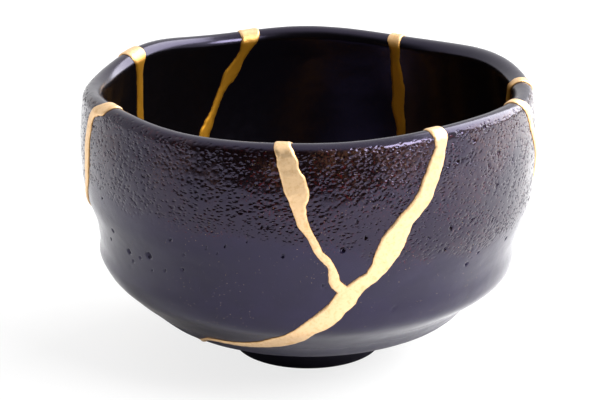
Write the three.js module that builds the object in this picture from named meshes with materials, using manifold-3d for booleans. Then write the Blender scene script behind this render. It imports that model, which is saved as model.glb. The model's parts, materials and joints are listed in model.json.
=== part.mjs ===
// Kintsugi tea bowl: a hand-formed, dark-glazed bowl that broke into eight sherds and was joined again
// with gold lacquer. The lacquer fills every crack through the wall, so it is one branching piece.
// Millimetres, +Z up. The origin is on the ground under the middle of the foot.
// Angles are degrees anticlockwise from +X seen from above, so 270 is the front of the bowl.
import * as THREE from 'three';
import { mergeVertices } from 'three/addons/utils/BufferGeometryUtils.js';
import Module from 'manifold-3d';

const wasm = await Module();
wasm.setup();

// Driving dimensions
const RIM_HEIGHT = 74.2; // crest of the lip before the hand-made peaks lift it
const LIP_RADIUS = 2.9; // half the lip's thickness
const LIP_CENTRE_RADIUS = 57.8; // bowl axis to the middle of the lip
const FOOT_RADIUS = 21; // outside of the foot ring, on the ground
const FOOT_RING_WIDTH = 6;
const FOOT_HEIGHT = 6.5; // ground to the belly
const FOOT_HOLLOW = 4.2; // depth of the hollow under the foot
const FLOOR_HEIGHT = 12.2; // tea pool in the middle of the floor, inside
const POOL_RADIUS = 16;
const STRETCH_START = 30; // the rim's peaks pull on the wall from this height up

const TURN_STEPS = 46; // facets round the bowl
const LIP_STEPS = 5; // facets over the lip

// The wall outside and inside, as [radius, height] from the foot to the lip
const OUTER_WALL = [
  [25.8, FOOT_HEIGHT], [34.2, 10], [41.6, 13], [46.3, 17], [51, 21.3], [54.8, 25], [56.3, 29],
  [57, 33], [57.9, 37], [59.1, 41.5], [60.6, 47], [61.4, 54], [61.5, 62], [60.7, RIM_HEIGHT - LIP_RADIUS],
];
const INNER_WALL = [
  [POOL_RADIUS + 1.5, FLOOR_HEIGHT + 1.5], [27, 14.6], [36, 17], [44, 21.5], [50, 28.5], [53.4, 37],
  [55.2, 47], [55.9, 56], [55.7, 64], [54.9, RIM_HEIGHT - LIP_RADIUS],
];

// The rim's gentle peaks: where each one stands, how far it spreads and how much it lifts the rim
const RIM_PEAKS = [
  { angle: 25, spread: 23, rise: 2.4 },
  { angle: 90, spread: 22, rise: 1.6 },
  { angle: 141, spread: 18, rise: 2.5 },
  { angle: 209, spread: 24, rise: 2.9 },
  { angle: 257, spread: 35, rise: 2.3 },
  { angle: 315, spread: 36, rise: 3.6 },
];

// Where the potter's hands pushed the wall out (positive) or in: a place, its reach and the push
const HAND_MARKS = [
  { angle: 0, reach: 45, height: 20, span: 4, push: -1 },
  { angle: 0, reach: 45, height: 25.7, span: 5.2, push: 0.8 },
  { angle: 0, reach: 45, height: 43, span: 6.2, push: 0.8 },
  { angle: 0, reach: 45, height: 58, span: 8, push: 0.25 },
  { angle: 180, reach: 42, height: 20, span: 4, push: 0.7 },
  { angle: 180, reach: 42, height: 29.2, span: 2.7, push: 0.9 },
  { angle: 180, reach: 42, height: 39.7, span: 4.4, push: -0.65 },
  { angle: 325, reach: 38, height: 19.5, span: 1.8, push: -0.7 },
  { angle: 325, reach: 38, height: 15.5, span: 2, push: 0.15 },
];

// The cracks, as [angle, height, width] way-points on the outside. Each starts above the rim, and runs
// down to the long crack that sweeps from the rim at the right of the front, round the lower body.
const ABOVE_RIM = 82;
const CRACKS = {
  front_right_and_round: [
    [303, ABOVE_RIM, 4.6], [302.7, 74, 4.4], [302.5, 70, 3.8], [300.8, 65.8, 4.4], [298, 60, 4.6],
    [294.6, 55.8, 4.3], [291.8, 52.3, 5.6], [290, 49, 6.8], [288.2, 45.2, 6], [286.4, 41.8, 4.6],
    [283.4, 39.4, 4.4], [279.4, 35.4, 5.8], [276.6, 31.6, 5.2], [272, 28, 5], [267, 23.6, 5.5],
    [262, 20.8, 5.2], [256, 18.8, 3.7], [248, 17.3, 2.4], [240, 16.8, 1.8], [234, 15.8, 1.7],
    [227, 13, 1.8], [218, 11.8, 2], [204, 11.8, 2.2], [186, 12.6, 2.4], [168, 16, 2.4], [150, 20, 2.8],
    [135, 22, 2.6], [122, 20, 2.4], [100, 22, 2.6], [80, 25, 2.4], [60, 24, 2.8], [38, 27, 2.6],
    [23, 25, 2.6], [8, 27, 2.8],
  ],
  front_left: [
    [262.8, ABOVE_RIM, 3.8], [263.5, 74.6, 3.9], [264.8, 71.5, 4.5], [265.6, 67.5, 5.2],
    [267.3, 62.5, 5.2], [267.9, 58.4, 3.6], [269.2, 54.4, 2.4], [271.4, 50.2, 2], [274.2, 46.2, 2.1],
    [275.7, 43.5, 2.3], [276.6, 39.8, 2.7], [279.5, 36.8, 2.8],
  ],
  left: [
    [211, ABOVE_RIM, 3.2], [209.5, 74.5, 3.2], [204, 71.4, 2.8], [201.6, 68, 3.2], [200.2, 62.8, 3.6],
    [198.9, 56.5, 3.2], [196.8, 51.4, 2.4], [191, 45.5, 2.2], [183, 40, 2.2], [177, 33, 2.4],
    [176, 25, 2.4], [181, 17, 2.4], [184, 12.9, 2.4],
  ],
  back_left: [
    [148.5, ABOVE_RIM, 6.4], [149.5, 74, 6.4], [149.5, 70, 4], [149, 66, 3], [148.6, 58, 2.8],
    [149.5, 48, 2.8], [151.5, 36, 2.6], [150.5, 27, 2.6], [150, 20, 2.8],
  ],
  back: [
    [107.5, ABOVE_RIM, 6], [107.5, 74, 6], [109, 70, 3.4], [110.5, 67, 2.8], [114, 62, 4.2],
    [116.6, 58, 2.4], [119.6, 52, 2.2], [122, 47.7, 3.4], [124, 43, 3.2], [123.5, 35, 2.6],
    [121, 27, 2.4], [122, 20, 2.6],
  ],
  back_right: [
    [63.5, ABOVE_RIM, 4.2], [63, 74.5, 4.2], [62.3, 71.5, 3.2], [62.2, 66, 3], [61.2, 57, 4],
    [61.2, 52.5, 4], [59.8, 46, 2.8], [60.5, 36, 2.8], [60, 24, 2.6],
  ],
  right_far: [
    [1, ABOVE_RIM, 3.4], [1.5, 74, 3.4], [4.5, 70, 3], [8, 66, 2.8], [11, 60, 2.8], [11, 53, 2.6],
    [10, 46, 2.6], [8.5, 40, 2.6], [6, 34, 2.6],
  ],
  right_near: [
    [-21.5, ABOVE_RIM, 3.4], [-21.5, 74.5, 3.4], [-18.5, 71, 3.4], [-17, 68, 3.2], [-15.4, 65.5, 3],
    [-12, 61.5, 3], [-8, 57, 2.8], [-4, 51, 2.8], [0, 45, 2.8], [4, 39, 2.6], [6, 34, 2.6], [8, 27, 2.8],
  ],
};

// A crack cuts straight through the wall, aimed at the axis at this height or level above it
const AIM_HEIGHT = 50;
const CUT_OUTSIDE = 4; // how far the cut starts outside the wall
const CUT_INSIDE = 12; // and how far it reaches in
const JOINT_GAP = 0.3; // clearance between lacquer and sherd
const LACQUER_PROUD = 0.3; // the lacquer stands this much above the glaze

// One place on each sherd, as [angle, height], to tell the sherds apart
const SHERDS = {
  base_sherd: [322, 45],
  front_v_sherd: [283, 62],
  front_left_sherd: [232, 50],
  left_sherd: [175, 50],
  back_left_sherd: [134, 50],
  back_sherd: [90, 50],
  back_right_sherd: [33, 50],
  right_rim_sherd: [-8, 66],
};

const glaze = { color: 0x1b1720, roughness: 0.35, metalness: 0 };
const goldLacquer = { color: 0xe0b56a, roughness: 0.4, metalness: 0.9 };

// A bell curve: 1 at the middle, falling away over the given reach
function bell(distance, reach) {
  return Math.exp(-((distance / reach) ** 2));
}

// Degrees from one direction to another, the short way round
function turnBetween(angle, other) {
  return ((((angle - other + 180) % 360) + 360) % 360) - 180;
}

// Puts a point of the turned shape where the potter's hands left it
function handFormed(angle, radius, height) {
  let lift = 0;
  for (const peak of RIM_PEAKS) {
    lift += peak.rise * bell(turnBetween(angle, peak.angle), peak.spread);
  }
  let push = 0;
  for (const mark of HAND_MARKS) {
    push += mark.push * bell(turnBetween(angle, mark.angle), mark.reach) * bell(height - mark.height, mark.span);
  }
  const turn = THREE.MathUtils.degToRad(angle);
  const reach = radius > FOOT_RADIUS ? radius + push : radius;
  const z = height + lift * THREE.MathUtils.smoothstep(height, STRETCH_START, RIM_HEIGHT);
  return new THREE.Vector3(reach * Math.cos(turn), reach * Math.sin(turn), z);
}

// Radius of the outside of the wall at a height
function outerRadius(height) {
  const above = OUTER_WALL.findIndex(([, z]) => z > height);
  if (above < 1) {
    return OUTER_WALL.at(above)[0];
  }
  const [lowRadius, low] = OUTER_WALL[above - 1];
  const [highRadius, high] = OUTER_WALL[above];
  return THREE.MathUtils.mapLinear(height, low, high, lowRadius, highRadius);
}

// Half section of the bowl, from the hollow of the foot up over the lip and down to the floor
function sectionPoints() {
  const ringInside = FOOT_RADIUS - FOOT_RING_WIDTH;
  const foot = [
    [0, FOOT_HOLLOW], [ringInside - 2, FOOT_HOLLOW - 0.2], [ringInside - 0.4, 1], [ringInside + 0.6, 0],
    [FOOT_RADIUS - 0.8, 0], [FOOT_RADIUS, 0.8], [FOOT_RADIUS + 0.7, 4],
  ];
  const lip = [];
  for (let i = 1; i < LIP_STEPS; i += 1) {
    const turn = (Math.PI * i) / LIP_STEPS;
    lip.push([
      LIP_CENTRE_RADIUS + LIP_RADIUS * Math.cos(turn),
      RIM_HEIGHT - LIP_RADIUS + LIP_RADIUS * Math.sin(turn),
    ]);
  }
  const floor = [[POOL_RADIUS - 1.5, FLOOR_HEIGHT + 0.2], [0, FLOOR_HEIGHT]];
  return [...foot, ...OUTER_WALL, ...lip, ...INNER_WALL.toReversed(), ...floor]
    .map(([r, z]) => new THREE.Vector2(r, z));
}

// Moves each point of a section outwards, square to the line through its neighbours
function grown(points, distance) {
  return points.map((point, i) => {
    const before = points[Math.max(i - 1, 0)];
    const after = points[Math.min(i + 1, points.length - 1)];
    const along = after.clone().sub(before).normalize();
    const moved = new THREE.Vector2(point.x + along.y * distance, point.y - along.x * distance);
    return point.x === 0 ? moved.setX(0) : moved;
  });
}

// Makes a cutting solid of a closed geometry, dropping the slivers that turning leaves on the axis
function toSolid(geometry) {
  geometry.deleteAttribute('normal');
  geometry.deleteAttribute('uv');
  const merged = mergeVertices(geometry, 1e-3);
  const corners = [];
  for (let i = 0; i < merged.index.count; i += 3) {
    const [a, b, c] = [0, 1, 2].map((k) => merged.index.getX(i + k));
    if (a !== b && b !== c && c !== a) {
      corners.push(a, b, c);
    }
  }
  const vertProperties = new Float32Array(merged.attributes.position.array);
  return new wasm.Manifold(new wasm.Mesh({ numProp: 3, vertProperties, triVerts: new Uint32Array(corners) }));
}

// The whole bowl: a turned section, then every point moved by hand
function wholeBowl(extra) {
  const geometry = new THREE.LatheGeometry(grown(sectionPoints(), extra), TURN_STEPS);
  geometry.rotateX(Math.PI / 2);
  const position = geometry.attributes.position;
  for (let i = 0; i < position.count; i += 1) {
    const x = position.getX(i);
    const y = position.getY(i);
    const angle = THREE.MathUtils.radToDeg(Math.atan2(y, x));
    const placed = handFormed(angle, Math.hypot(x, y), position.getZ(i));
    position.setXYZ(i, placed.x, placed.y, placed.z);
  }
  return toSolid(geometry);
}

// A bent blade along a crack, as wide as the crack less the trim, from outside the wall to inside it
function blade(route, trim) {
  const places = route.map(([angle, height]) => handFormed(angle, outerRadius(height), height));
  const ring = [];
  places.forEach((place, i) => {
    const before = places[Math.max(i - 1, 0)];
    const after = places[Math.min(i + 1, places.length - 1)];
    const along = after.clone().sub(before).normalize();
    const aim = new THREE.Vector3(0, 0, Math.max(AIM_HEIGHT, place.z));
    const outwards = place.clone().sub(aim).normalize();
    const side = along.clone().cross(outwards).normalize().multiplyScalar(route[i][2] / 2 - trim);
    const outside = place.clone().addScaledVector(outwards, CUT_OUTSIDE);
    const inside = place.clone().addScaledVector(outwards, -CUT_INSIDE);
    ring.push(
      outside.clone().add(side), inside.clone().add(side), inside.clone().sub(side), outside.clone().sub(side),
    );
  });
  const index = [0, 2, 1, 0, 3, 2];
  for (let i = 0; i < places.length - 1; i += 1) {
    for (let k = 0; k < 4; k += 1) {
      const a = i * 4 + k;
      const b = i * 4 + ((k + 1) % 4);
      index.push(a, b, a + 4, b, b + 4, a + 4);
    }
  }
  const last = (places.length - 1) * 4;
  index.push(last, last + 1, last + 2, last, last + 2, last + 3);
  const geometry = new THREE.BufferGeometry().setFromPoints(ring);
  geometry.setIndex(index);
  return toSolid(geometry);
}

// All the blades joined into one
function allBlades(trim) {
  return Object.values(CRACKS)
    .map((route) => blade(route, trim))
    .reduce((joined, next) => joined.add(next));
}

// How close a solid's corners come to a place
function distanceTo(solid, place) {
  const { vertProperties } = solid.getMesh();
  let nearest = Infinity;
  for (let i = 0; i < vertProperties.length; i += 3) {
    nearest = Math.min(nearest, place.distanceTo(new THREE.Vector3().fromArray(vertProperties, i)));
  }
  return nearest;
}

// A named mesh from a solid
function namedMesh(name, solid, finish) {
  const { vertProperties, triVerts } = solid.getMesh();
  const geometry = new THREE.BufferGeometry();
  geometry.setAttribute('position', new THREE.BufferAttribute(new Float32Array(vertProperties), 3));
  geometry.setIndex(new THREE.BufferAttribute(new Uint32Array(triVerts), 1));
  geometry.computeVertexNormals();
  const mesh = new THREE.Mesh(geometry, new THREE.MeshStandardMaterial(finish));
  mesh.name = name;
  return mesh;
}

const bowl = new THREE.Group();
bowl.name = 'kintsugi_bowl';

const pieces = wholeBowl(0).subtract(allBlades(0)).decompose();
for (const [name, [angle, height]] of Object.entries(SHERDS)) {
  const place = handFormed(angle, outerRadius(height), height);
  pieces.sort((a, b) => distanceTo(a, place) - distanceTo(b, place));
  bowl.add(namedMesh(name, pieces[0], glaze));
}

const lacquer = wholeBowl(LACQUER_PROUD).intersect(allBlades(JOINT_GAP));
bowl.add(namedMesh('gold_seam', lacquer, goldLacquer));

export default bowl;
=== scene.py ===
"""Looks of a kintsugi tea bowl: dark-glazed sherds with real relief, joined by raised gold lacquer."""
import math

import bpy
import numpy as np
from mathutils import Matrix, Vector, kdtree
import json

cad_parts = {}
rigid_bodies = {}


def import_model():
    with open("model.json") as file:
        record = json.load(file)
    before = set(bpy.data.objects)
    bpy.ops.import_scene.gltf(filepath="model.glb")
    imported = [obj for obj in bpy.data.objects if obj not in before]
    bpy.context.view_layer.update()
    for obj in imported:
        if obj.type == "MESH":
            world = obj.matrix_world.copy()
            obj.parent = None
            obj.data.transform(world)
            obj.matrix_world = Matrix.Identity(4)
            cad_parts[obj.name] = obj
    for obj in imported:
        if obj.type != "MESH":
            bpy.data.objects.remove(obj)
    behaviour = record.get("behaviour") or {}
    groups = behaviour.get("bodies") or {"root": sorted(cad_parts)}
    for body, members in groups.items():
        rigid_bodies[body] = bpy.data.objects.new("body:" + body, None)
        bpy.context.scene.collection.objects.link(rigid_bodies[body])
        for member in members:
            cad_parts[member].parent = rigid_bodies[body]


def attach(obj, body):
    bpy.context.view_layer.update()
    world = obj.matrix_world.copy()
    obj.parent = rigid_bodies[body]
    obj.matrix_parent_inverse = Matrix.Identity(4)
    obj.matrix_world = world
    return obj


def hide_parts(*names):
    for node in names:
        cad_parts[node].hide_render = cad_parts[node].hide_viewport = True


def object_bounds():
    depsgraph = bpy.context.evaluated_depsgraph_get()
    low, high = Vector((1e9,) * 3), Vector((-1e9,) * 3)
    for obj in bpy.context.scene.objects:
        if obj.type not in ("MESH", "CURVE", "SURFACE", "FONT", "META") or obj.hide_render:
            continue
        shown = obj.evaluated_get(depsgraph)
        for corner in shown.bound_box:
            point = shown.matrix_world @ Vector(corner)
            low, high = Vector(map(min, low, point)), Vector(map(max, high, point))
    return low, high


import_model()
frame_low, frame_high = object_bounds()

bl_info = {
    "name": "Kintsugi tea bowl",
    "version": (1, 0, 0),
    "blender": (4, 5, 0),
    "location": "3D View > Sidebar > Kintsugi bowl",
    "description": "Makes a hand-formed tea bowl of glazed sherds joined with gold lacquer",
    "category": "Object",
}

# The form, in millimetres; angles are degrees anticlockwise from +X, so 270 is the front
MM = 0.001
LACQUER_PROUD = 0.3  # the frame's lacquer stands this much above its glaze
RIM_PEAKS = [  # angle, spread and rise of the rim's gentle peaks
    (25, 23, 2.4), (90, 22, 1.6), (141, 18, 2.5), (209, 24, 2.9), (257, 35, 2.3), (315, 36, 3.6),
]
HAND_MARKS = [  # angle, reach, height, span and push of the places where hands moved the wall
    (0, 45, 20, 4, -1), (0, 45, 25.7, 5.2, 0.8), (0, 45, 43, 6.2, 0.8), (0, 45, 58, 8, 0.25),
    (180, 42, 20, 4, 0.7), (180, 42, 29.2, 2.7, 0.9), (180, 42, 39.7, 4.4, -0.65),
    (325, 38, 19.5, 1.8, -0.7), (325, 38, 15.5, 2, 0.15),
]
STRETCH_START = 30  # the rim's peaks pull on the wall from this height up
LIP_RADIUS = 2.9
LIP_CENTRE_RADIUS = 57.8
FOOT_RADIUS = 21
FOOT_RING_WIDTH = 6
FOOT_HOLLOW = 4.2
FLOOR_HEIGHT = 12.2
POOL_RADIUS = 16


def bell(distance, reach):
    """1 at the middle, falling away over the reach."""
    return np.exp(-(distance / reach) ** 2)


def turn_between(angle, other):
    """Degrees from one direction to another, the short way round."""
    return (angle - other + 180) % 360 - 180


def rim_lift(angle):
    """How much the rim's peaks lift it at an angle."""
    return sum(rise * bell(turn_between(angle, peak), spread) for peak, spread, rise in RIM_PEAKS)


RIM_HEIGHT = frame_high[2] / MM - LACQUER_PROUD - float(np.max(rim_lift(np.arange(360))))
LIP_CENTRE_HEIGHT = RIM_HEIGHT - LIP_RADIUS
OUTER_WALL = [  # radius and height, foot to lip
    (25.8, 6.5), (34.2, 10), (41.6, 13), (46.3, 17), (51, 21.3), (54.8, 25), (56.3, 29), (57, 33),
    (57.9, 37), (59.1, 41.5), (60.6, 47), (61.4, 54), (61.5, 62), (60.7, LIP_CENTRE_HEIGHT),
]
INNER_WALL = [  # radius and height, lip to floor
    (54.9, LIP_CENTRE_HEIGHT), (55.7, 64), (55.9, 56), (55.2, 47), (53.4, 37), (50, 28.5), (44, 21.5),
    (36, 17), (27, 14.6), (POOL_RADIUS + 1.5, FLOOR_HEIGHT + 1.5),
]

# The cracks, as angle, height and width way-points on the outside, each starting above the rim
ABOVE_RIM = 82
CRACKS = {
    "front right and round": [
        (303, ABOVE_RIM, 4.6), (302.7, 74.4, 4.5), (302.8, 72, 3.9), (302.4, 69.6, 3.6), (301, 66.3, 4.3),
        (299.4, 62.8, 4.5), (297.4, 59, 4.6), (295, 56.2, 4.2), (293.2, 54.4, 4.4), (291.6, 52, 5.7),
        (290.2, 49.5, 6.9), (288.8, 46.6, 6.5), (287.4, 43.6, 5.1), (285.6, 41, 4.4), (283.6, 39.7, 4.2),
        (281.3, 37.6, 5), (279.1, 35, 5.9), (277.2, 32.4, 5.2), (274.8, 30, 5.5), (272, 28, 4.9),
        (269.6, 26, 4.7), (267, 23.6, 5.5), (264, 21.8, 5.8), (260, 20.1, 4.8), (256, 18.8, 3.7),
        (251.5, 17.8, 2.9), (246, 17.1, 2.2), (240, 16.8, 1.6), (235, 16.1, 1.1), (230, 14, 1.1),
        (224, 12, 1.7), (204, 11.8, 2.2), (186, 12.6, 2.4), (168, 16, 2.4), (150, 20, 2.8), (135, 22, 2.6),
        (122, 20, 2.4), (100, 22, 2.6), (80, 25, 2.4), (60, 24, 2.8), (38, 27, 2.6), (23, 25, 2.6),
        (8, 27, 2.8),
    ],
    "front left": [
        (262.8, ABOVE_RIM, 3.8), (263.5, 74.6, 3.9), (264.6, 72, 4.4), (265.2, 69.5, 5), (265.8, 67, 5.3),
        (266.8, 64.6, 6), (267.5, 61.8, 5.5), (267.7, 59.4, 3.9), (268.3, 56.4, 3), (269.3, 54.2, 2.3),
        (270.6, 52, 1.9), (271.6, 49.8, 2.2), (272.8, 47.8, 1.8), (274.2, 46.2, 2.2), (275.5, 44.3, 1.9),
        (276, 42, 2.7), (276.6, 39.8, 2.7), (279.5, 36.8, 2.8),
    ],
    "left": [
        (211, ABOVE_RIM, 3.2), (209.5, 74.5, 3.2), (206.2, 72.6, 2.8), (203.6, 71.2, 2.6), (201.9, 69, 2.8),
        (201, 66, 3.2), (200.2, 62.8, 3.5), (199.5, 59, 3.5), (198.7, 55.8, 3), (196.8, 51.4, 2.2),
        (191, 45.5, 2), (183, 40, 2.2), (177, 33, 2.4), (176, 25, 2.4), (181, 17, 2.4), (184, 12.9, 2.4),
    ],
    "back left": [
        (148.5, ABOVE_RIM, 6.4), (149.5, 74, 6.4), (149.5, 70, 4), (149, 66, 3), (148.6, 58, 2.8),
        (149.5, 48, 2.8), (151.5, 36, 2.6), (150.5, 27, 2.6), (150, 20, 2.8),
    ],
    "back": [
        (107.5, ABOVE_RIM, 6), (107.5, 74, 6), (109, 70, 3.4), (110.5, 67, 2.8), (114, 62, 4.2),
        (116.6, 58, 2.4), (119.6, 52, 2.2), (122, 47.7, 3.4), (124, 43, 3.2), (123.5, 35, 2.6),
        (121, 27, 2.4), (122, 20, 2.6),
    ],
    "back right": [
        (63.5, ABOVE_RIM, 4.2), (63, 74.5, 4.2), (62.3, 71.5, 3.2), (62.2, 66, 3), (61.2, 57, 4),
        (61.2, 52.5, 4), (59.8, 46, 2.8), (60.5, 36, 2.8), (60, 24, 2.6),
    ],
    "right, far side": [
        (1, ABOVE_RIM, 3.4), (1.5, 74, 3.4), (4.5, 70, 3), (8, 66, 2.8), (11, 60, 2.8), (11, 53, 2.6),
        (10, 46, 2.6), (8.5, 40, 2.6), (6, 34, 2.6),
    ],
    "right, near side": [
        (-21.5, ABOVE_RIM, 3.4), (-21.5, 74.5, 3.4), (-18.5, 71, 3.4), (-17, 68, 3.2), (-15.4, 65.5, 3),
        (-12, 61.5, 3), (-8, 57, 2.8), (-4, 51, 2.8), (0, 45, 2.8), (4, 39, 2.6), (6, 34, 2.6), (8, 27, 2.8),
    ],
}
AIM_HEIGHT = 50  # a crack cuts the wall aimed at the axis here, or level above it
CUT_OUTSIDE = 4
CUT_INSIDE = 12
UNROLL_RADIUS = 55  # a crack's points are spaced evenly on the wall unrolled at this radius
BLADE_STEP = 0.45
RAGGED_WAVES = [(1, 9), (0.9, 3.4), (0.5, 1.4)]  # share and length in steps, long waves to short
CRACK_SEED = 7
GLAZE_MESH = 0.36  # spacing of the finest mesh, on the rough glaze and on the lacquer
LACQUER_MESH = 0.3
SHERDS = {  # one place on each sherd, angle and height
    "base_sherd": (322, 45), "front_v_sherd": (283, 62), "front_left_sherd": (232, 50),
    "left_sherd": (175, 50), "back_left_sherd": (134, 50), "back_sherd": (90, 50),
    "back_right_sherd": (33, 50), "right_rim_sherd": (-8, 66),
}

# The glaze: the rough upper skin ends at these heights round the outside
SKIN_EDGE = [
    (30, 50), (80, 47), (130, 45), (170, 50), (208, 52.5), (250, 51), (275, 50), (288, 44.5), (315, 41.3),
    (345, 44),
]
LIP_BAND = [  # angle, and how far down from the crest the lip stays smooth
    (30, 2), (150, 1.8), (205, 1.2), (235, 1.4), (262, 2.3), (300, 2.4), (318, 1.9),
]
PINHOLES = [  # angle, height and radius of the larger pits
    (217, 39.4, 0.8), (226, 41, 1.0), (211, 43.2, 0.6), (264, 47.4, 0.45), (278, 48.8, 0.7), (313, 69.5, 0.6),
    (317, 72, 0.5), (322, 64.6, 0.5), (306, 50.1, 0.5), (305, 45, 0.5), (314, 38.7, 0.5), (222, 39.3, 0.45),
    (237, 40, 0.45), (250, 48.8, 0.35), (245, 47.6, 0.3), (235, 47.7, 0.35), (318, 62.2, 0.45),
    (95, 36, 0.8), (60, 41, 0.6), (140, 33, 0.7), (35, 34, 0.5), (165, 42, 0.6), (120, 55, 0.5),
    (75, 60, 0.5),
]
SMALL_PINHOLES = 110
SMALL_HEIGHTS = (18, 73)
SMALL_RADII = (0.2, 0.42)
PINHOLE_SEED = 21
SMOOTH_BELOW = 37  # the glaze is smooth below this height, so its mesh is coarser
# painted shade: colour that darkens the pits as if they were shadowed
PIT_PAINTED_SHADE = (0.003, 0.002, 0.002)
LIP_DARK = (0.012, 0.01, 0.015)
# near-black: on the foot its own black; inside, the glaze's own black deepened by painted shade
INSIDE_SHADE_AND_FOOT_BLACK = (0.0015, 0.0012, 0.0014)  # also the foot
SEAM_EDGE_DARK = (0.03, 0.01, 0.005)  # brown line on the glaze along each seam
# painted shade: darker, browner colour for the same gold where it runs inside the bowl
INSIDE_GOLD_PAINTED_SHADE = (0.46, 0.21, 0.012)

# The stage, in metres
CAMERA_SIDEWAYS = -0.0021
KEY_PLACE = (0.47, -0.39, 0.51)
KEY_SIZE = 0.3
SIDE_PLACE = (0.6, 0.35, 0.5)
SIDE_SIZE = 0.8
LIGHTS_AIM = (0, 0, 0.04)


# ---------------------------------------------------------------- settings

class BowlGlazeSettings(bpy.types.PropertyGroup):
    """Sizes and colours of the glaze."""
    dent_size: bpy.props.FloatProperty(
        name="Dent size", description="Spacing of the little dents in the rough upper glaze",
        default=1.2 * MM, unit="LENGTH", precision=5)
    dent_depth: bpy.props.FloatProperty(
        name="Dent depth", description="How deep those dents are", default=0.16 * MM, unit="LENGTH",
        precision=5)
    undulation: bpy.props.FloatProperty(
        name="Undulation", description="How far the hand-shaped wall wanders in and out",
        default=0.3 * MM, unit="LENGTH", precision=5)
    pinhole_depth: bpy.props.FloatProperty(
        name="Pinhole depth", description="Depth of the larger pits", default=0.8 * MM, unit="LENGTH",
        precision=5)
    slate: bpy.props.FloatVectorProperty(
        name="Glaze", description="Colour of the dark glaze", subtype="COLOR", size=3, min=0, max=1,
        default=(0.004, 0.003, 0.011))
    sheen: bpy.props.FloatVectorProperty(
        name="Sheen", description="Tint of what the glaze reflects face on", subtype="COLOR", size=3,
        min=0, max=1, default=(0.7, 0.63, 1.0))
    iron_red: bpy.props.FloatVectorProperty(
        name="Iron red", description="Colour where iron shows through", subtype="COLOR", size=3,
        min=0, max=1, default=(0.045, 0.004, 0.003))
    skin_dark: bpy.props.FloatVectorProperty(
        name="Rough glaze", description="Colour of the rough upper glaze", subtype="COLOR", size=3,
        min=0, max=1, default=(0.004, 0.0016, 0.0018))
    warm_brown: bpy.props.FloatVectorProperty(
        name="Warm brown", description="Colour of the thin glaze near the rim", subtype="COLOR", size=3,
        min=0, max=1, default=(0.045, 0.021, 0.012))
    tan_speck: bpy.props.FloatVectorProperty(
        name="Specks", description="Colour of the fine specks", subtype="COLOR", size=3,
        min=0, max=1, default=(0.5, 0.37, 0.22))


class BowlLacquerSettings(bpy.types.PropertyGroup):
    """Sizes and colours of the gold lacquer."""
    rest_proud: bpy.props.FloatProperty(
        name="Edge height", description="How far the lacquer stands above the glaze at its edges",
        default=0.12 * MM, unit="LENGTH", precision=5)
    crown: bpy.props.FloatProperty(
        name="Crown", description="How much more it rises in the middle", default=0.3 * MM, unit="LENGTH",
        precision=5)
    shoulder: bpy.props.FloatProperty(
        name="Shoulder", description="How far in from the edge it takes to rise", default=0.7 * MM,
        unit="LENGTH", precision=5)
    wrinkle: bpy.props.FloatProperty(
        name="Wrinkles", description="Height of the brushed wrinkles", default=0.12 * MM, unit="LENGTH",
        precision=5)
    ragged: bpy.props.FloatProperty(
        name="Ragged edges", description="How far the edges wander in and out",
        default=0.16 * MM, unit="LENGTH", precision=5)
    gold: bpy.props.FloatVectorProperty(
        name="Gold", description="Colour of the gold", subtype="COLOR", size=3, min=0, max=1,
        default=(0.84, 0.585, 0.335))
    ochre: bpy.props.FloatVectorProperty(
        name="Worn gold", description="Colour where the gold is thin", subtype="COLOR", size=3, min=0, max=1,
        default=(0.6, 0.31, 0.08))


class BowlStageSettings(bpy.types.PropertyGroup):
    """The view and the light."""
    lens: bpy.props.FloatProperty(
        name="Lens", description="Focal length of the camera", default=127.3, unit="CAMERA")
    distance: bpy.props.FloatProperty(
        name="Distance", description="Camera to the bowl's axis, along the ground", default=0.55,
        unit="LENGTH")
    height: bpy.props.FloatProperty(
        name="Height", description="Camera above the ground", default=0.2373, unit="LENGTH")
    tilt: bpy.props.FloatProperty(
        name="Tilt", description="How far the camera looks down", default=math.radians(19.59),
        subtype="ANGLE")
    key_power: bpy.props.FloatProperty(
        name="Key light", description="Power of the soft light above the front right", default=6,
        unit="POWER")
    side_power: bpy.props.FloatProperty(
        name="Side light", description="Power of the large soft light behind the right", default=15,
        unit="POWER")
    surround: bpy.props.FloatProperty(
        name="Surround", description="Brightness of the white surround", default=1.0)


# ---------------------------------------------------------------- the form

def hand_push(angle, height):
    """How far the potter's hands moved the wall out at a place."""
    return sum(
        amount * bell(turn_between(angle, side), reach) * bell(height - level, span)
        for side, reach, level, span, amount in HAND_MARKS
    )


def placed(angle, radius, height):
    """Puts points of the turned shape where the potter's hands left them, in metres."""
    angle, radius, height = np.broadcast_arrays(*(np.asarray(v, float) for v in (angle, radius, height)))
    reach = np.where(radius > FOOT_RADIUS, radius + hand_push(angle, height), radius)
    lifted = height + rim_lift(angle) * stretch(height)
    turn = np.radians(angle)
    return np.stack([reach * np.cos(turn), reach * np.sin(turn), lifted], axis=-1) * MM


def stretch(height):
    """Share of the rim's lift that reaches a height."""
    share = np.clip((height - STRETCH_START) / (RIM_HEIGHT - STRETCH_START), 0, 1)
    return share * share * (3 - 2 * share)


def unplaced(points):
    """Angle, turned radius and turned height of placed points: the reverse of placed()."""
    x, y, z = (points / MM).T
    angle = np.degrees(np.arctan2(y, x))
    lift = rim_lift(angle)
    height = z.copy()
    for _ in range(6):
        height = z - lift * stretch(height)
    radius = np.hypot(x, y)
    return angle, np.where(radius > FOOT_RADIUS, radius - hand_push(angle, height), radius), height


def curve_through(points, steps):
    """A smooth curve through points, with the given number of steps between neighbours."""
    points = np.asarray(points, float)
    padded = np.vstack([points[:1], points, points[-1:]])
    share = np.arange(steps) / steps
    pieces = []
    for before, start, end, after in zip(padded, padded[1:], padded[2:], padded[3:]):
        leave = (end - before) / 2
        arrive = (after - start) / 2
        t = share[:, None]
        pieces.append(
            (2 * t**3 - 3 * t**2 + 1) * start + (t**3 - 2 * t**2 + t) * leave
            + (3 * t**2 - 2 * t**3) * end + (t**3 - t**2) * arrive
        )
    return np.vstack([*pieces, points[-1:]])


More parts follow.
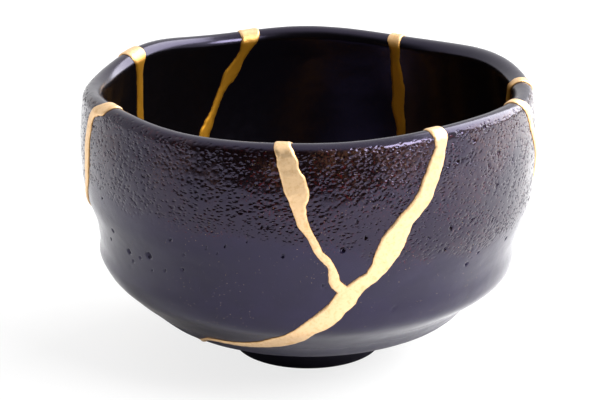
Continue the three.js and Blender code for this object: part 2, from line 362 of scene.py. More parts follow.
def evenly(points, spacing):
    """The same line with points at an even spacing."""
    along = np.concatenate([[0], np.cumsum(np.linalg.norm(np.diff(points[:, :2], axis=0), axis=1))])
    count = max(2, int(round(along[-1] / spacing)) + 1)
    wanted = np.linspace(0, along[-1], count)
    return np.stack([np.interp(wanted, along, column) for column in points.T], axis=-1)


def section(fine):
    """Half section from under the foot, over the lip, to the floor: radius, height and mesh spacing."""
    ring_inside = FOOT_RADIUS - FOOT_RING_WIDTH
    foot = curve_through([
        (0, FOOT_HOLLOW), (ring_inside - 3, FOOT_HOLLOW - 0.1), (ring_inside - 1.1, FOOT_HOLLOW - 0.8),
        (ring_inside - 0.4, 0.7), (ring_inside + 0.6, 0), (ring_inside + 3, 0), (FOOT_RADIUS - 0.8, 0),
        (FOOT_RADIUS, 0.8), (FOOT_RADIUS + 0.5, 3.6), (FOOT_RADIUS + 1.6, 5.2), OUTER_WALL[0],
    ], 12)
    outer = curve_through(OUTER_WALL, 16)
    smooth = outer[:, 1] < SMOOTH_BELOW
    turn = np.linspace(0, np.pi, 30)[1:-1]
    lip = np.stack(
        [LIP_CENTRE_RADIUS + LIP_RADIUS * np.cos(turn), LIP_CENTRE_HEIGHT + LIP_RADIUS * np.sin(turn)], -1)
    inner = curve_through(INNER_WALL, 16)
    floor = curve_through([
        INNER_WALL[-1], (POOL_RADIUS, FLOOR_HEIGHT + 0.75), (POOL_RADIUS - 1.5, FLOOR_HEIGHT + 0.2),
        (POOL_RADIUS - 6, FLOOR_HEIGHT), (0, FLOOR_HEIGHT),
    ], 12)
    stretches = [
        (foot, fine * 2.6), (np.vstack([outer[smooth], outer[~smooth][:1]]), fine * 1.9),
        (np.vstack([outer[~smooth], lip, inner[:1]]), fine), (inner, fine * 2.4), (floor, fine * 3),
    ]
    rows = []
    for line, spacing in stretches:
        line = evenly(line, spacing)[:-1]
        rows.append(np.column_stack([line, np.full(len(line), spacing)]))
    rows.append([[*floor[-1], fine * 3]])
    return np.vstack(rows)


def ring_count(radius, spacing, full):
    """How many points go round a ring: the full count, halved until it suits the spacing."""
    count = full
    while count % 2 == 0 and math.tau * radius / count < spacing * 0.75:
        count //= 2
    return count


def rings_mesh(name, fine, extra=0.0):
    """A closed turned mesh of the section, hand-formed, grown outwards by extra millimetres."""
    rows = section(fine)
    profile, spacings = rows[:, :2], rows[:, 2]
    along = np.vstack([profile[1:], profile[-1:]]) - np.vstack([profile[:1], profile[:-1]])
    along /= np.linalg.norm(along, axis=1)[:, None]
    profile = profile + np.stack([along[:, 1], -along[:, 0]], -1) * extra
    profile[[0, -1], 0] = 0
    full = 2 ** 6 * round(math.tau * LIP_CENTRE_RADIUS / fine / 2 ** 6)
    vertices, rings = [], []
    start = 0
    for (radius, height), spacing in zip(profile, spacings):
        count = 1 if radius == 0 else ring_count(radius, spacing, full)
        angles = np.arange(count) * 360 / count
        vertices.append(placed(angles, radius, height))
        rings.append((start, count))
        start += count
    faces = [band(*low, *high) for low, high in zip(rings, rings[1:])]
    mesh = bpy.data.meshes.new(name)
    mesh.from_pydata(np.vstack(vertices), [], np.vstack(faces))
    mesh.shade_smooth()
    return mesh


def band(low, low_count, high, high_count):
    """Triangles between two rings of the same count, or one a whole multiple of the other."""
    count = max(low_count, high_count)
    here = np.arange(count)
    there = (here + 1) % count
    low_here, low_there = (low + (k * low_count // count) % low_count for k in (here, there))
    high_here, high_there = (high + (k * high_count // count) % high_count for k in (here, there))
    first = np.stack([low_here, low_there, high_there], -1)
    second = np.stack([low_here, high_there, high_here], -1)
    both = np.vstack([first, second])
    real = (both[:, 0] != both[:, 1]) & (both[:, 1] != both[:, 2]) & (both[:, 2] != both[:, 0])
    return both[real]


def outer_radius(height):
    """Radius of the outside of the wall at a height."""
    curve = curve_through(OUTER_WALL, 16)
    return np.interp(height, curve[:, 1], curve[:, 0])


# ---------------------------------------------------------------- cracks

def wander(count, wave, rng):
    """A smooth random line between -1 and 1, turning about every wave points."""
    knots = rng.uniform(-1, 1, int(count / wave) + 4)
    at = np.arange(count) / wave
    left = at.astype(int)
    share = at - left
    share = share * share * (3 - 2 * share)
    return knots[left] * (1 - share) + knots[left + 1] * share


def blade_mesh(route, ragged, rng):
    """A bent blade with ragged sides along one crack, through the wall."""
    line = curve_through(route, 10)
    flat = np.stack([np.radians(line[:, 0]) * UNROLL_RADIUS, line[:, 1], line[:, 0], line[:, 2]], -1)
    flat = evenly(flat, BLADE_STEP)
    angle, height, width = flat[:, 2], flat[:, 1], flat[:, 3]
    place = placed(angle, outer_radius(height), height) / MM
    along = np.gradient(place, axis=0)
    for _ in range(4):
        along[1:-1] = (along[:-2] + along[1:-1] * 2 + along[2:]) / 4
    along /= np.linalg.norm(along, axis=1)[:, None]
    aim = np.stack([0 * height, 0 * height, np.maximum(AIM_HEIGHT, place[:, 2])], -1)
    outwards = place - aim
    outwards /= np.linalg.norm(outwards, axis=1)[:, None]
    side = np.cross(along, outwards)
    side /= np.linalg.norm(side, axis=1)[:, None]
    halves = []
    for _ in range(2):
        ripple = sum(size * wander(len(flat), wave, rng) for size, wave in RAGGED_WAVES)
        halves.append((width / 2 + ragged / MM * np.minimum(1, width / 3) * ripple)[:, None])
    outside, inside = place + outwards * CUT_OUTSIDE, place - outwards * CUT_INSIDE
    corners = np.stack([
        outside + side * halves[0], inside + side * halves[0],
        inside - side * halves[1], outside - side * halves[1],
    ], 1)
    faces = [(0, 2, 1), (0, 3, 2)]
    for i in range(len(flat) - 1):
        for k in range(4):
            a, b = 4 * i + k, 4 * i + (k + 1) % 4
            faces += [(a, b, a + 4), (b, b + 4, a + 4)]
    last = 4 * (len(flat) - 1)
    faces += [(last, last + 1, last + 2), (last, last + 2, last + 3)]
    mesh = bpy.data.meshes.new("crack blade")
    mesh.from_pydata(corners.reshape(-1, 3) * MM, [], faces)
    return mesh


def all_blades(ragged):
    """One object with every crack's blade, joined."""
    rng = np.random.default_rng(CRACK_SEED)
    blades = [new_object("crack blade", blade_mesh(route, ragged, rng)) for route in CRACKS.values()]
    joined = blades[0]
    for other in blades[1:]:
        add_boolean(joined, "UNION", other)
    make_plain(joined)
    for other in blades[1:]:
        bpy.data.objects.remove(other)
    marker = bpy.data.materials.get("Cut face") or bpy.data.materials.new("Cut face")
    joined.data.materials.clear()
    joined.data.materials.append(marker)
    return joined


# ---------------------------------------------------------------- making and cutting meshes

def new_object(name, mesh):
    """A linked object for a mesh."""
    made = bpy.data.objects.new(name, mesh)
    bpy.context.scene.collection.objects.link(made)
    return made


def make_plain(target):
    """Applies every modifier and leaves a plain mesh."""
    bpy.context.view_layer.update()
    graph = bpy.context.evaluated_depsgraph_get()
    mesh = bpy.data.meshes.new_from_object(target.evaluated_get(graph), depsgraph=graph)
    target.modifiers.clear()
    target.data = mesh
    return target


def add_boolean(target, operation, other):
    """Adds a cut, a join or an overlap with another closed object."""
    modifier = target.modifiers.new(operation.title(), "BOOLEAN")
    modifier.solver = "MANIFOLD"
    modifier.operation = operation
    modifier.material_mode = "TRANSFER"
    modifier.object = other


def numbers(collection, key, width=1, kind=np.float32):
    """Reads one value from every item of a mesh's vertices, edges, loops or polygons."""
    values = np.zeros(len(collection) * width, kind)
    collection.foreach_get(key, values)
    return values.reshape(-1, width) if width > 1 else values


def write_attribute(mesh, name, values):
    """Stores one number for each vertex."""
    attribute = mesh.attributes.get(name) or mesh.attributes.new(name, "FLOAT", "POINT")
    attribute.data.foreach_set("value", np.asarray(values, np.float32))


def face_kinds(mesh):
    """For every polygon, whether a blade made it."""
    slot = mesh.materials.find("Cut face")
    return numbers(mesh.polygons, "material_index", kind=np.int32) == slot


def rim_of_cut(mesh, cut):
    """Which vertices lie between a blade's face and the bowl's own surface; marks those edges sharp."""
    loop_edge = numbers(mesh.loops, "edge_index", kind=np.int32)
    loop_cut = np.repeat(cut, numbers(mesh.polygons, "loop_total", kind=np.int32))
    touches_cut = np.zeros(len(mesh.edges), bool)
    touches_bowl = np.zeros(len(mesh.edges), bool)
    touches_cut[loop_edge[loop_cut]] = True
    touches_bowl[loop_edge[~loop_cut]] = True
    between = touches_cut & touches_bowl
    mesh.shade_smooth()
    sharp = mesh.attributes.get("sharp_edge") or mesh.attributes.new("sharp_edge", "BOOLEAN", "EDGE")
    sharp.data.foreach_set("value", between)
    ends = numbers(mesh.edges, "vertices", 2, np.int32)[between]
    return np.unique(ends)


def distance_to(points, targets):
    """Distance from each point to the nearest target."""
    tree = kdtree.KDTree(len(targets))
    for i, target in enumerate(targets):
        tree.insert(target, i)
    tree.balance()
    return np.array([tree.find(point)[2] for point in points])


def pinhole_places():
    """Every pit as a placed point and its radius in metres: larger ones listed, small ones seeded."""
    rng = np.random.default_rng(PINHOLE_SEED)
    small = np.stack([
        rng.uniform(0, 360, SMALL_PINHOLES), rng.uniform(*SMALL_HEIGHTS, SMALL_PINHOLES),
        rng.uniform(*SMALL_RADII, SMALL_PINHOLES),
    ], -1)
    every = np.vstack([np.array(PINHOLES, float), small])
    return placed(every[:, 0], outer_radius(every[:, 1]), every[:, 1]), every[:, 2] * MM


def describe_surface(mesh):
    """Stores on each vertex what the relief and the materials follow."""
    points = numbers(mesh.vertices, "co", 3).astype(float)
    angle, radius, height = unplaced(points)
    line = section(0.2)[:, :2]
    along = np.concatenate([[0], np.cumsum(np.linalg.norm(np.diff(line, axis=0), axis=1))])
    tree = kdtree.KDTree(len(line))
    for i, (r, z) in enumerate(line):
        tree.insert((r, z, 0), i)
    tree.balance()
    nearest = np.array([tree.find((r, z, 0))[1] for r, z in zip(radius, height)])
    crest = int(np.argmax(line[:, 1]))
    past_crest = along[nearest] - along[crest]
    edge_angles, edge_heights = np.array(SKIN_EDGE, float).T
    edge = np.interp(angle % 360, edge_angles, edge_heights, period=360)
    write_attribute(mesh, "skin_above", height - edge)
    write_attribute(mesh, "past_crest", past_crest)
    lip_angles, lip_widths = np.array(LIP_BAND, float).T
    lip = np.interp(angle % 360, lip_angles, lip_widths, period=360)
    write_attribute(mesh, "lip_share", past_crest + lip)
    write_attribute(mesh, "turned_height", height)
    places, sizes = pinhole_places()
    pits = kdtree.KDTree(len(places))
    for i, place in enumerate(places):
        pits.insert(place, i)
    pits.balance()
    found = [pits.find(point) for point in points]
    reach = np.array([distance for _, _, distance in found]) / sizes[[index for _, index, _ in found]]
    write_attribute(mesh, "pit", np.clip(1.25 - reach, 0, 1) * (past_crest < 0))


# ---------------------------------------------------------------- node helpers

def node(tree, kind, inputs=None, **settings):
    """Adds a node, with its settings, and its inputs as numbers or links."""
    made = tree.nodes.new(kind)
    for key, value in settings.items():
        setattr(made, key, value)
    for key, value in (inputs or {}).items():
        if isinstance(value, bpy.types.NodeSocket):
            tree.links.new(value, made.inputs[key])
        else:
            made.inputs[key].default_value = value
    return made


def calc(tree, operation, *values):
    """A Math node's result."""
    return node(tree, "ShaderNodeMath", dict(enumerate(values)), operation=operation).outputs[0]


def vector_calc(tree, operation, *values):
    """A Vector Math node's result."""
    return node(tree, "ShaderNodeVectorMath", dict(enumerate(values)), operation=operation).outputs[0]


def ramp(tree, value, low, high, to_low=0.0, to_high=1.0):
    """Goes smoothly from one number to another as the value crosses a range."""
    made = node(
        tree, "ShaderNodeMapRange",
        {"Value": value, "From Min": low, "From Max": high, "To Min": to_low, "To Max": to_high},
        interpolation_type="SMOOTHSTEP")
    return made.outputs[0]


def noise(tree, vector, size, detail=2.0, roughness=0.5):
    """Noise whose features are about the given size in metres, 0 to 1."""
    made = node(
        tree, "ShaderNodeTexNoise",
        {"Vector": vector, "Scale": 1 / size, "Detail": detail, "Roughness": roughness})
    return made.outputs[0]


def mix_colour(tree, share, first, second):
    """A blend of two colours."""
    made = tree.nodes.new("ShaderNodeMix")
    made.data_type = "RGBA"
    for socket, value in ((made.inputs[0], share), (made.inputs[6], first), (made.inputs[7], second)):
        if isinstance(value, bpy.types.NodeSocket):
            tree.links.new(value, socket)
        elif socket is made.inputs[0]:
            socket.default_value = value
        else:
            socket.default_value = (*value, 1)
    return made.outputs[2]


def read(tree, name):
    """A number stored on the vertices."""
    if tree.bl_idname == "GeometryNodeTree":
        made = node(tree, "GeometryNodeInputNamedAttribute", {"Name": name}, data_type="FLOAT")
        return made.outputs["Attribute"]
    return node(tree, "ShaderNodeAttribute", attribute_name=name).outputs["Fac"]


def relief_tree(name, sockets):
    """A geometry tree with Geometry in and out and named inputs for its sizes."""
    tree = bpy.data.node_groups.new(name, "GeometryNodeTree")
    tree.interface.new_socket("Geometry", in_out="INPUT", socket_type="NodeSocketGeometry")
    tree.interface.new_socket("Geometry", in_out="OUTPUT", socket_type="NodeSocketGeometry")
    for socket in sockets:
        made = tree.interface.new_socket(socket, in_out="INPUT", socket_type="NodeSocketFloat")
        made.subtype = "DISTANCE"
    return tree, tree.nodes.new("NodeGroupInput")


def close_tree(tree, group_in, offset, material):
    """Moves the surface along its normal, and ends the tree."""
    normal = tree.nodes.new("GeometryNodeInputNormal").outputs[0]
    shift = node(tree, "ShaderNodeVectorMath", {0: normal, "Scale": offset}, operation="SCALE").outputs[0]
    moved = node(tree, "GeometryNodeSetPosition", {"Geometry": group_in.outputs["Geometry"], "Offset": shift})
    real = node(tree, "GeometryNodeRealizeInstances", {"Geometry": moved.outputs[0]})
    last = real.outputs[0]
    if material:
        last = node(tree, "GeometryNodeSetMaterial", {"Geometry": last, "Material": material}).outputs[0]
    node(tree, "NodeGroupOutput", {"Geometry": last})
    return tree


def add_relief(target, tree, sizes):
    """Adds the tree as a modifier with its sizes, by each input's identifier."""
    modifier = target.modifiers.new(tree.name, "NODES")
    modifier.node_group = tree
    for item in tree.interface.items_tree:
        if item.in_out == "INPUT" and item.name in sizes:
            modifier[item.identifier] = sizes[item.name]
    return make_plain(target)


# ---------------------------------------------------------------- glaze

def skin_share(tree, place):
    """How much of the rough upper glaze there is: ragged below, and ending in a ragged line under the lip."""
    torn = calc(tree, "SUBTRACT", noise(tree, place, 5 * MM, 4.0, 0.65), 0.5)
    below = ramp(tree, calc(tree, "MULTIPLY_ADD", torn, 13.0, read(tree, "skin_above")), -1.5, 2.5)
    fray = calc(tree, "SUBTRACT", noise(tree, place, 2 * MM, 3.0, 0.6), 0.5)
    under_lip = calc(tree, "MULTIPLY_ADD", fray, 2.0, read(tree, "lip_share"))
    return calc(tree, "MULTIPLY", below, ramp(tree, under_lip, -0.35, 0.35, 1.0, 0.0))


def dents(tree, place, size):
    """Small dents scattered through the rough glaze, wider than they are tall: 1 at the middle of each."""
    squashed = vector_calc(tree, "MULTIPLY", place, (1.0, 1.0, 1.75))
    push = node(
        tree, "ShaderNodeTexNoise", {"Vector": squashed, "Scale": 1 / (2.2 * MM), "Detail": 2.0}).outputs[1]
    swirl = node(tree, "ShaderNodeVectorMath", {0: push, "Scale": 1.1 * MM}, operation="SCALE").outputs[0]
    bent = vector_calc(tree, "ADD", squashed, swirl)
    made = node(tree, "ShaderNodeTexVoronoi", {"Vector": bent, "Scale": calc(tree, "DIVIDE", 1.0, size)})
    crowd = noise(tree, squashed, 7 * MM, 2.0)
    edge = ramp(tree, crowd, 0.3, 0.7, 0.34, 0.62)
    return ramp(tree, calc(tree, "DIVIDE", made.outputs["Distance"], edge), 0.25, 1.0, 1.0, 0.0)


def glaze_relief():
    """Dents of the rough skin, pinholes, and the slow wander of a hand-shaped wall."""
    tree, given = relief_tree("Glaze relief", ["Dent Size", "Dent Depth", "Undulation", "Pinhole Depth"])
    place = tree.nodes.new("GeometryNodeInputPosition").outputs[0]
    dented = calc(tree, "MULTIPLY", skin_share(tree, place), dents(tree, place, given.outputs["Dent Size"]))
    dented = calc(tree, "MULTIPLY", dented, given.outputs["Dent Depth"])
    slow = noise(tree, vector_calc(tree, "MULTIPLY", place, (1.0, 1.0, 1.8)), 15 * MM, 2.0)
    ripple = noise(tree, vector_calc(tree, "MULTIPLY", place, (1.0, 1.0, 1.5)), 5 * MM, 2.0)
    out = calc(tree, "MULTIPLY_ADD", ripple, 0.3, calc(tree, "SUBTRACT", slow, 0.65))
    above_foot = ramp(tree, read(tree, "turned_height"), 6.0, 14.0)
    on_lip = ramp(tree, calc(tree, "ABSOLUTE", read(tree, "past_crest")), 2.0, 8.0, 0.5, 1.0)
    out = calc(tree, "MULTIPLY", out, calc(tree, "MULTIPLY", above_foot, on_lip))
    out = calc(tree, "MULTIPLY", out, given.outputs["Undulation"])
    pit = calc(tree, "MULTIPLY", ramp(tree, read(tree, "pit"), 0.0, 0.9), given.outputs["Pinhole Depth"])
    total = calc(tree, "SUBTRACT", out, calc(tree, "ADD", dented, pit))
    return close_tree(tree, given, total, glaze_material())


def glaze_material():
    """Dark glaze: dented and iron-flecked above, smooth below, black and glossy inside; painted shade darkens
    the pits and makes the inside darker than the glaze outside.
    """
    found = bpy.data.materials.get("Dark glaze")
    if found:
        return found
    settings = bpy.context.scene.bowl_glaze
    material = bpy.data.materials.new("Dark glaze")
    material.use_nodes = True
    tree = material.node_tree
    shader = tree.nodes["Principled BSDF"]
    shader.inputs["Specular Tint"].default_value = (*settings.sheen, 1)
    place = tree.nodes.new("ShaderNodeTexCoord").outputs["Object"]
    past_crest = read(tree, "past_crest")
    skin = skin_share(tree, place)
    dent = calc(tree, "MULTIPLY", dents(tree, place, settings.dent_size), skin)
    inside = ramp(tree, past_crest, 0.5, 3.5)

    slate = tuple(settings.slate)
    shade = ramp(tree, noise(tree, place, 6 * MM, 3.0), 0.3, 0.7)
    colour = mix_colour(tree, shade, tuple(0.7 * c for c in slate), tuple(1.3 * c for c in slate))
    colour = mix_colour(tree, skin, colour, tuple(settings.skin_dark))
    brown_patch = ramp(tree, noise(tree, place, 13 * MM, 3.0), 0.42, 0.62)
    near_rim = ramp(tree, past_crest, -26.0, -6.0)
    brown_grain = ramp(tree, noise(tree, place, 0.8 * MM, 3.0, 0.7), 0.35, 0.7)
    brown = calc(tree, "MULTIPLY", calc(tree, "MULTIPLY", brown_patch, near_rim), brown_grain)
    colour = mix_colour(tree, calc(tree, "MULTIPLY", brown, skin), colour, tuple(settings.warm_brown))

    streak = noise(tree, vector_calc(tree, "MULTIPLY", place, (1, 1, 0.75)), 0.55 * MM, 3.0, 0.65)
    iron_zone = ramp(tree, noise(tree, place, 12 * MM, 2.0), 0.38, 0.62, 0.1, 1.0)
    iron_zone = calc(tree, "MULTIPLY", iron_zone, ramp(tree, read(tree, "skin_above"), -4.0, 1.0))
    iron = calc(tree, "MULTIPLY", ramp(tree, streak, 0.54, 0.68), iron_zone)
    colour = mix_colour(tree, iron, colour, tuple(settings.iron_red))

    made = node(tree, "ShaderNodeTexVoronoi", {"Vector": place, "Scale": 1 / (0.85 * MM)})
    chance = node(tree, "ShaderNodeSeparateColor", {0: made.outputs["Color"]}).outputs[0]
    speck = calc(tree, "MULTIPLY", ramp(tree, made.outputs["Distance"], 0.07, 0.14, 1.0, 0.0),
                 ramp(tree, chance, 0.5, 0.55))
    speck = calc(tree, "MULTIPLY", speck, ramp(tree, noise(tree, place, 12 * MM, 2.0), 0.4, 0.6, 0.1, 1.0))
    colour = mix_colour(tree, calc(tree, "MULTIPLY", speck, 0.55), colour, tuple(settings.tan_speck))

    pit = ramp(tree, read(tree, "pit"), 0.15, 0.6)
    # painted shade darkens the pits
    colour = mix_colour(tree, pit, colour, PIT_PAINTED_SHADE)
    lip_share = ramp(tree, read(tree, "lip_share"), -0.4, 0.4)
    colour = mix_colour(tree, calc(tree, "MULTIPLY", lip_share, 0.8), colour, LIP_DARK)
    foot = ramp(tree, read(tree, "turned_height"), 5.5, 8.0, 1.0, 0.0)
    dark = calc(tree, "MAXIMUM", foot, inside)
    # painted shade: the inside is made darker than the glaze outside; the foot's black is its own
    colour = mix_colour(tree, dark, colour, INSIDE_SHADE_AND_FOOT_BLACK)
    # a darker brown line on the glaze next to each seam, fading out within 0.28 mm
    seam_edge_darkening = ramp(tree, read(tree, "to_seam"), 0.02, 0.28, 1.0, 0.0)
    seam_edge_darkening = calc(tree, "MULTIPLY", seam_edge_darkening, 0.85)
    colour = mix_colour(tree, seam_edge_darkening, colour, SEAM_EDGE_DARK)
    tree.links.new(colour, shader.inputs["Base Color"])

    rough = calc(tree, "MULTIPLY_ADD", noise(tree, place, 2.5 * MM, 3.0), 0.12, 0.15)
    rough = calc(tree, "MULTIPLY_ADD", skin, -0.05, rough)
    rough = calc(tree, "MULTIPLY_ADD", foot, 0.4, rough)
    underside = ramp(tree, read(tree, "turned_height"), 14.0, 19.0, 1.0, 0.0)
    underside = calc(tree, "MULTIPLY", underside, calc(tree, "SUBTRACT", 1.0, inside))
    rough = calc(tree, "MULTIPLY_ADD", underside, 0.25, rough)
    rough = calc(tree, "MULTIPLY_ADD", pit, 0.5, rough)
    tree.links.new(rough, shader.inputs["Roughness"])

    peel = noise(tree, vector_calc(tree, "MULTIPLY", place, (1.0, 1.0, 1.3)), 1.5 * MM, 2.0)
    fine = noise(tree, place, 0.5 * MM, 2.0)
    height = calc(tree, "MULTIPLY_ADD", fine, 0.08, calc(tree, "MULTIPLY", peel, 0.18))
    height = calc(tree, "MULTIPLY", height, calc(tree, "SUBTRACT", 1.0, calc(tree, "MULTIPLY", dark, 0.7)))
    height = calc(tree, "SUBTRACT", height, dent)
    bump = node(tree, "ShaderNodeBump", {"Height": height, "Strength": 1.0, "Distance": 0.08 * MM})
    tree.links.new(bump.outputs[0], shader.inputs["Normal"])
    return material


# ---------------------------------------------------------------- gold lacquer

def lacquer_relief():
    """The crown of the lacquer and its brushed wrinkles."""
    tree, given = relief_tree("Lacquer relief", ["Crown", "Shoulder", "Wrinkle"])
    place = tree.nodes.new("GeometryNodeInputPosition").outputs[0]
    into = calc(tree, "DIVIDE", read(tree, "from_edge"), given.outputs["Shoulder"])
    into = calc(tree, "MINIMUM", into, 1.0)
    rise = calc(tree, "SUBTRACT", 2.0, into)
    rise = calc(tree, "MULTIPLY", rise, into)
    ripple = calc(tree, "SUBTRACT", noise(tree, place, 2.2 * MM, 3.0, 0.6), 0.5)
    ripple = calc(tree, "MULTIPLY", calc(tree, "MULTIPLY", ripple, 2.0), given.outputs["Wrinkle"])
    total = calc(tree, "MULTIPLY", rise, calc(tree, "ADD", given.outputs["Crown"], ripple))
    return close_tree(tree, given, total, gold_material())


def gold_material():
    """Satin gold powder on lacquer, cream where it is thick and ochre where it is thin, and darker inside the
    bowl as painted shade.
    """
    found = bpy.data.materials.get("Gold lacquer")
    if found:
        return found
    settings = bpy.context.scene.bowl_lacquer
    material = bpy.data.materials.new("Gold lacquer")
    material.use_nodes = True
    tree = material.node_tree
    shader = tree.nodes["Principled BSDF"]
    place = tree.nodes.new("ShaderNodeTexCoord").outputs["Object"]
    from_edge = read(tree, "from_edge")
    worn = ramp(tree, noise(tree, place, 3.5 * MM, 4.0, 0.65), 0.52, 0.75)
    fine_worn = ramp(tree, noise(tree, place, 0.9 * MM, 3.0, 0.6), 0.45, 0.75)
    thin = calc(tree, "MAXIMUM", calc(tree, "MULTIPLY", worn, 0.6), calc(tree, "MULTIPLY", fine_worn, 0.4))
    edge = ramp(tree, from_edge, 0.0, 0.22 * MM, 0.7, 0.0)
    thin = calc(tree, "MAXIMUM", thin, edge)
    colour = mix_colour(tree, thin, tuple(settings.gold), tuple(settings.ochre))
    inside = ramp(tree, read(tree, "past_crest"), 0.5, 5.0)
    # painted shade: the gold inside the bowl is darkened
    colour = mix_colour(tree, inside, colour, INSIDE_GOLD_PAINTED_SHADE)
    tree.links.new(colour, shader.inputs["Base Color"])
    shader.inputs["Metallic"].default_value = 0.8
    rough = calc(tree, "MULTIPLY_ADD", noise(tree, place, 1.2 * MM, 3.0), 0.22, 0.36)
    tree.links.new(rough, shader.inputs["Roughness"])
    grain = noise(tree, place, 0.5 * MM, 4.0, 0.65)
    bump = node(tree, "ShaderNodeBump", {"Height": grain, "Strength": 0.5, "Distance": 0.1 * MM})
    tree.links.new(bump.outputs[0], shader.inputs["Normal"])
    return material


# ---------------------------------------------------------------- operators

class BOWL_OT_fire_sherds(bpy.types.Operator):
    """Turns and hand-forms the bowl, gives it its glaze relief and breaks it into sherds"""
    bl_idname = "bowl.fire_sherds"
    bl_label = "Fire the sherds"

    def execute(self, context):
        settings = context.scene.bowl_glaze
        bowl = new_object("whole bowl", rings_mesh("whole bowl", GLAZE_MESH))
        describe_surface(bowl.data)
        add_relief(bowl, glaze_relief(), {
            "Dent Size": settings.dent_size, "Dent Depth": settings.dent_depth,
            "Undulation": settings.undulation, "Pinhole Depth": settings.pinhole_depth,
        })
        blades = all_blades(context.scene.bowl_lacquer.ragged)
        add_boolean(bowl, "DIFFERENCE", blades)
        make_plain(bowl)
        bpy.data.objects.remove(blades)
        for sherd in split_loose(bowl):
            name = nearest_sherd(sherd)
            sherd.name = sherd.data.name = name + "_glazed"
            cut = face_kinds(sherd.data)
            rim = rim_of_cut(sherd.data, cut)
            describe_surface(sherd.data)
            points = numbers(sherd.data.vertices, "co", 3)
            write_attribute(sherd.data, "to_seam", distance_to(points, points[rim]) / MM)
            wear_one_material(sherd.data, glaze_material())
            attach(sherd, "root")
            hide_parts(name)
        return {"FINISHED"}


class BOWL_OT_lay_gold(bpy.types.Operator):
    """Fills every crack with lacquer, crowned and wrinkled, and powders it with gold"""
    bl_idname = "bowl.lay_gold"
    bl_label = "Lay the gold"

    def execute(self, context):
        settings = context.scene.bowl_lacquer
        grown = rings_mesh("gold_seam_lacquer", LACQUER_MESH, settings.rest_proud / MM)
        seam = new_object("gold_seam_lacquer", grown)
        blades = all_blades(settings.ragged)
        add_boolean(seam, "INTERSECT", blades)
        make_plain(seam)
        bpy.data.objects.remove(blades)
        cut = face_kinds(seam.data)
        rim = rim_of_cut(seam.data, cut)
        describe_surface(seam.data)
        points = numbers(seam.data.vertices, "co", 3)
        on_top = np.ones(len(points), bool)
        loops = numbers(seam.data.loops, "vertex_index", kind=np.int32)
        loop_cut = np.repeat(cut, numbers(seam.data.polygons, "loop_total", kind=np.int32))
        on_top[loops[loop_cut]] = False
        from_edge = np.zeros(len(points))
        from_edge[on_top] = distance_to(points[on_top], points[rim])
        write_attribute(seam.data, "from_edge", from_edge)
        add_relief(seam, lacquer_relief(), {
            "Crown": settings.crown, "Shoulder": settings.shoulder, "Wrinkle": settings.wrinkle,
        })
        wear_one_material(seam.data, gold_material())
        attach(seam, "root")
        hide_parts("gold_seam")
        return {"FINISHED"}


def split_loose(target):
    """Separates an object's loose parts and returns them."""
    before = set(bpy.data.objects)
    bpy.ops.object.select_all(action="DESELECT")
    target.select_set(True)
    bpy.context.view_layer.objects.active = target
    bpy.ops.mesh.separate(type="LOOSE")
    return [target, *(set(bpy.data.objects) - before)]


def nearest_sherd(part):
    """The name of the sherd that this loose part is."""
    points = numbers(part.data.vertices, "co", 3)
    gaps = {}
    for name, (angle, height) in SHERDS.items():
        place = placed(angle, outer_radius(height), height)
        gaps[name] = float(np.min(np.linalg.norm(points - place, axis=1)))
    return min(gaps, key=gaps.get)


def wear_one_material(mesh, material):
    """Gives a mesh a single material."""
    mesh.materials.clear()
    mesh.materials.append(material)
    mesh.polygons.foreach_set("material_index", np.zeros(len(mesh.polygons), np.int32))


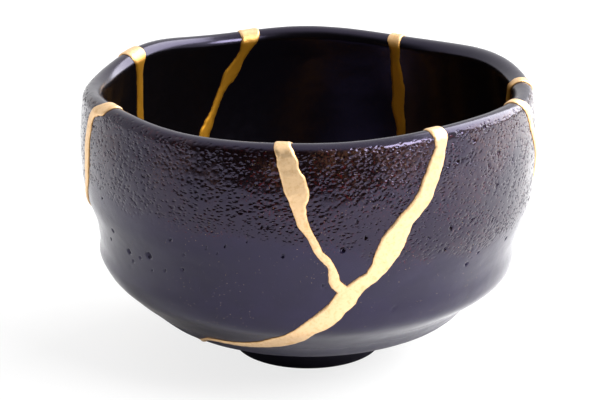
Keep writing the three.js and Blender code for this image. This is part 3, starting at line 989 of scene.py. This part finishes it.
class BOWL_OT_set_stage(bpy.types.Operator):
    """Sets the pale floor, the soft white surround, the two soft lights and the camera"""
    bl_idname = "bowl.set_stage"
    bl_label = "Set the stage"

    def execute(self, context):
        settings = context.scene.bowl_stage
        scene = context.scene
        scene.view_settings.view_transform = "Standard"
        camera = bpy.data.cameras.new("Camera")
        camera.lens = settings.lens
        camera.sensor_width = 36
        camera.clip_start = 0.01
        view = new_object("Camera", camera)
        view.location = (CAMERA_SIDEWAYS, -settings.distance, settings.height)
        view.rotation_euler = (math.pi / 2 - settings.tilt, 0, 0)
        scene.camera = view

        self.softbox("Key", KEY_PLACE, KEY_SIZE, settings.key_power)
        self.softbox("Side", SIDE_PLACE, SIDE_SIZE, settings.side_power)
        self.surround(scene, settings.surround)
        self.floor()
        return {"FINISHED"}

    def softbox(self, name, place, size, power):
        """A square soft light aimed at the bowl."""
        light = bpy.data.lights.new(name, "AREA")
        light.size = size
        light.energy = power
        lamp = new_object(name, light)
        lamp.location = place
        lamp.rotation_euler = (Vector(LIGHTS_AIM) - lamp.location).to_track_quat("-Z", "Y").to_euler()

    def surround(self, scene, strength):
        """White all round but for a dark front, so the sides shine and the front of the glaze stays deep."""
        world = bpy.data.worlds.new("Surround")
        world.use_nodes = True
        scene.world = world
        tree = world.node_tree
        back = tree.nodes["Background"]
        direction = tree.nodes.new("ShaderNodeTexCoord").outputs["Generated"]
        dark_side = (-0.25, -0.95, 0.0)
        dimmest = 0.015
        front = node(
            tree, "ShaderNodeVectorMath", {0: direction, 1: dark_side}, operation="DOT_PRODUCT")
        white = ramp(tree, front.outputs["Value"], 0.1, 0.75, 1.0, dimmest)
        white = calc(tree, "MAXIMUM", white, node(tree, "ShaderNodeLightPath").outputs["Is Camera Ray"])
        tree.links.new(calc(tree, "MULTIPLY", white, strength), back.inputs["Strength"])
        back.inputs["Color"].default_value = (1, 1, 1, 1)

    def floor(self):
        """A broad white table, its front edge near the bowl."""
        reach = 3.0
        front = -0.28
        mesh = bpy.data.meshes.new("Floor")
        mesh.from_pydata(
            [(-reach, front, 0), (reach, front, 0), (reach, reach, 0), (-reach, reach, 0)],
            [], [(0, 1, 2, 3)])
        material = bpy.data.materials.new("Floor")
        material.use_nodes = True
        shader = material.node_tree.nodes["Principled BSDF"]
        shader.inputs["Base Color"].default_value = (0.9, 0.9, 0.9, 1)
        shader.inputs["Roughness"].default_value = 0.9
        shader.inputs["Specular IOR Level"].default_value = 0.0
        self.whiten(material.node_tree, shader)
        mesh.materials.append(material)
        new_object("Floor", mesh)

    def whiten(self, tree, shader):
        """Keeps the floor near white where the camera looks at it, with only a faint shadow."""
        white = 1.05
        glow_share = 0.75
        glow = node(tree, "ShaderNodeEmission", {"Strength": white})
        seen = node(tree, "ShaderNodeLightPath").outputs["Is Camera Ray"]
        share = calc(tree, "MULTIPLY", seen, glow_share)
        both = node(tree, "ShaderNodeMixShader", {0: share, 1: shader.outputs[0], 2: glow.outputs[0]})
        tree.links.new(both.outputs[0], tree.nodes["Material Output"].inputs["Surface"])


class BOWL_PT_panel(bpy.types.Panel):
    """Lists the settings and the steps"""
    bl_idname = "BOWL_PT_panel"
    bl_label = "Kintsugi tea bowl"
    bl_space_type = "VIEW_3D"
    bl_region_type = "UI"
    bl_category = "Kintsugi bowl"

    def draw(self, context):
        for step, group in STEPS:
            box = self.layout.box()
            settings = getattr(context.scene, group)
            for key in settings.__annotations__:
                box.prop(settings, key)
            box.operator(step)


STEPS = [
    ("bowl.set_stage", "bowl_stage"), ("bowl.fire_sherds", "bowl_glaze"), ("bowl.lay_gold", "bowl_lacquer"),
]
GROUPS = {
    "bowl_stage": BowlStageSettings, "bowl_glaze": BowlGlazeSettings, "bowl_lacquer": BowlLacquerSettings,
}
CLASSES = [*GROUPS.values(), BOWL_OT_set_stage, BOWL_OT_fire_sherds, BOWL_OT_lay_gold, BOWL_PT_panel]


def register():
    for made in CLASSES:
        bpy.utils.register_class(made)
    for name, group in GROUPS.items():
        setattr(bpy.types.Scene, name, bpy.props.PointerProperty(type=group))


def unregister():
    for name in GROUPS:
        delattr(bpy.types.Scene, name)
    for made in reversed(CLASSES):
        bpy.utils.unregister_class(made)


def write_sizes():
    """Writes nothing: it only imports json."""
    import json


def main():
    register()
    for step, _ in STEPS:
        group, name = step.split(".")
        getattr(getattr(bpy.ops, group), name)()
    write_sizes()


if __name__ == "__main__":
    main()
